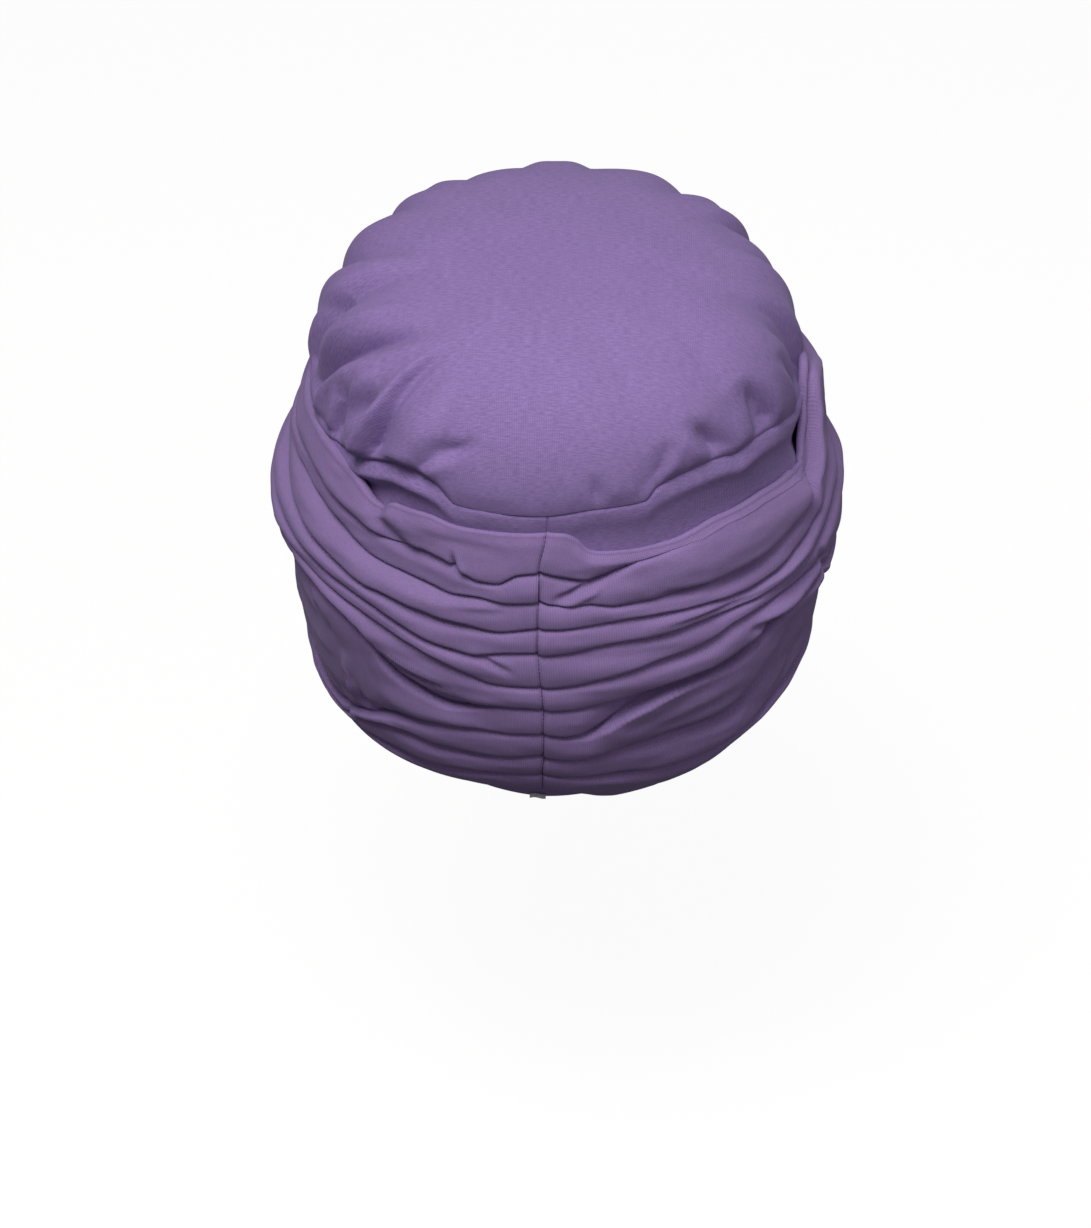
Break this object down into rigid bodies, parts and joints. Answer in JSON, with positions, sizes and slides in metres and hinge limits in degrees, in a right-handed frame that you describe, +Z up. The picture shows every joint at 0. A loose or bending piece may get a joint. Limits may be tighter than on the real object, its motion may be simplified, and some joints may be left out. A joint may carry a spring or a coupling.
{
  "type": "turban",
  "caption": "Soft knitted turban: gathered oval crown on a side band, wrapped by two draped and pleated halves sewn at the centre back.",
  "frame": {"origin": "centre of the hollow for the head, at the level where it is widest", "axes": "+Z up out of the crown, +Y towards the wearer's front, +X towards the wearer's right"},
  "size_m": [0.2196, 0.2264, 0.196],
  "materials": {
    "crown_cloth": "matte knitted jersey, mid purple",
    "drape_cloth": "matte knitted jersey, mid purple",
    "tab_cloth": "matte woven tape, off-white"
  },
  "bodies": {
    "root": {"crown_tip": "crown_cloth", "crown_band": "crown_cloth", "drape_left": "drape_cloth", "drape_right": "drape_cloth", "hem": "drape_cloth", "label_tab": "tab_cloth"}
  },
  "joints": []
}
